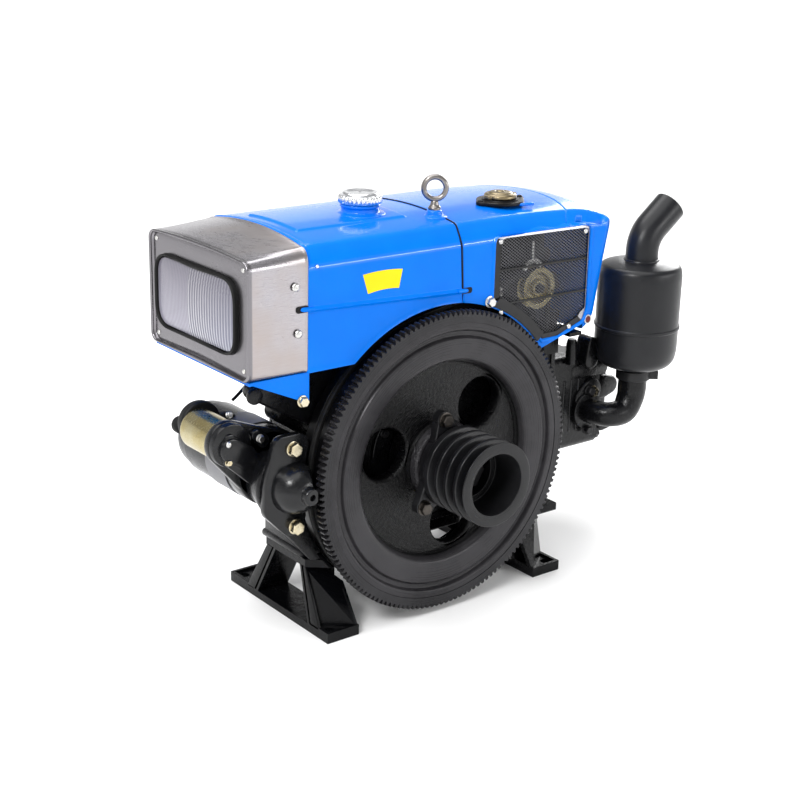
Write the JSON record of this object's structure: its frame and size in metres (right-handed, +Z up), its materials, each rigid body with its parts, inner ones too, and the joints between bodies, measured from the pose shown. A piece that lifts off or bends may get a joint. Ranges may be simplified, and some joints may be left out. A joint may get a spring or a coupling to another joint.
{
  "type": "single-cylinder diesel engine",
  "caption": "Horizontal water-cooled single-cylinder diesel engine on cast feet, with a toothed flywheel, grooved belt pulley, head lamp, fuel tank, radiator hood and silencer.",
  "frame": {"origin": "centre of the four foot bolt holes, on the floor plane under the feet", "axes": "+X along the engine from the head lamp to the cylinder head, +Y from the flywheel side to the gear side, +Z up; the crankshaft lies along Y"},
  "size_m": [0.8373, 0.4595, 0.6542],
  "materials": {
    "black_casting": "black painted casting, satin",
    "dark_steel": "dark steel",
    "bare_aluminium": "cast aluminium",
    "foot_paint": "gloss black paint over casting",
    "blue_paint": "gloss blue paint",
    "chrome_plate": "bright chrome",
    "core_fins": "dull brass fins",
    "black_fitting": "black paint",
    "cap_brass": "aged brass",
    "bright_trim": "bright steel",
    "black_wire": "black wire",
    "gold_zinc": "yellow zinc plate",
    "belt_rubber": "matt rubber",
    "eye_steel": "zinc plated steel",
    "stainless": "brushed stainless",
    "black_rubber": "rubber",
    "reflector_mirror": "bright reflector",
    "lamp_lens": "ribbed lens glass",
    "wheel_iron": "dark oiled iron",
    "ring_steel": "dark ring gear steel",
    "pulley_paint": "satin black paint",
    "starter_casting": "black painted aluminium",
    "starter_paint": "dark grey paint",
    "silencer_paint": "satin black heat paint"
  },
  "bodies": {
    "engine": {"engine_block": "black_casting", "oil_sump": "black_casting", "main_bearing_cover": "black_casting", "gear_cover": "black_casting", "starting_boss": "dark_steel", "injection_pump": "bare_aluminium", "oil_filler": "dark_steel", "front_cover": "black_casting", "cylinder_head": "black_casting", "rocker_cover": "black_casting", "front_foot": "foot_paint", "rear_foot": "foot_paint", "fuel_tank": "blue_paint", "filler_neck": "blue_paint", "radiator_hood": "blue_paint", "radiator_core": "core_fins", "radiator_neck": "black_fitting", "grille_frame": "bright_trim", "grille_mesh": "black_wire", "hood_bracket": "foot_paint", "fan_post": "dark_steel", "fan_belt": "belt_rubber", "lifting_eye": "eye_steel", "lamp_box": "stainless", "lamp_bezel": "stainless", "lamp_gasket": "black_rubber", "lamp_reflector": "reflector_mirror", "lamp_glass": "lamp_lens", "tank_bracket": "blue_paint", "starter_bracket": "black_casting", "starter_housing": "starter_casting", "starter_motor": "starter_paint", "starter_solenoid": "gold_zinc", "exhaust_elbow": "black_casting", "exhaust_clamp": "dark_steel", "silencer_body": "silencer_paint", "silencer_outlet": "silencer_paint", "intake_elbow": "black_casting", "air_cleaner": "silencer_paint"},
    "crank_train": {"crankshaft": "dark_steel", "flywheel": "wheel_iron", "ring_gear": "ring_steel", "crank_pulley": "pulley_paint"},
    "fan": {"fan_rotor": "gold_zinc", "fan_pulley": "gold_zinc"},
    "fuel_cap": {"fuel_cap": "chrome_plate"},
    "radiator_cap": {"radiator_cap": "cap_brass"}
  },
  "joints": [
    {"name": "crank_spin", "type": "hinge", "parent": "engine", "child": "crank_train", "pos_m": [-0.02, 0, 0.24], "axis": [0, 1, 0], "continuous": true},
    {"name": "fan_spin", "type": "hinge", "parent": "engine", "child": "fan", "pos_m": [0.177, 0, 0.47], "axis": [0, 1, 0], "continuous": true},
    {"name": "fuel_cap_turn", "type": "hinge", "parent": "engine", "child": "fuel_cap", "pos_m": [-0.095, -0.014, 0.622], "axis": [0, 0, 1], "range_deg": [0, 90]},
    {"name": "radiator_cap_turn", "type": "hinge", "parent": "engine", "child": "radiator_cap", "pos_m": [0.14, -0.05, 0.609], "axis": [0, 0, 1], "range_deg": [0, 90]}
  ],
  "couplings": [
    {"joint": "fan_spin", "follows": "crank_spin", "ratio": 7.75}
  ]
}
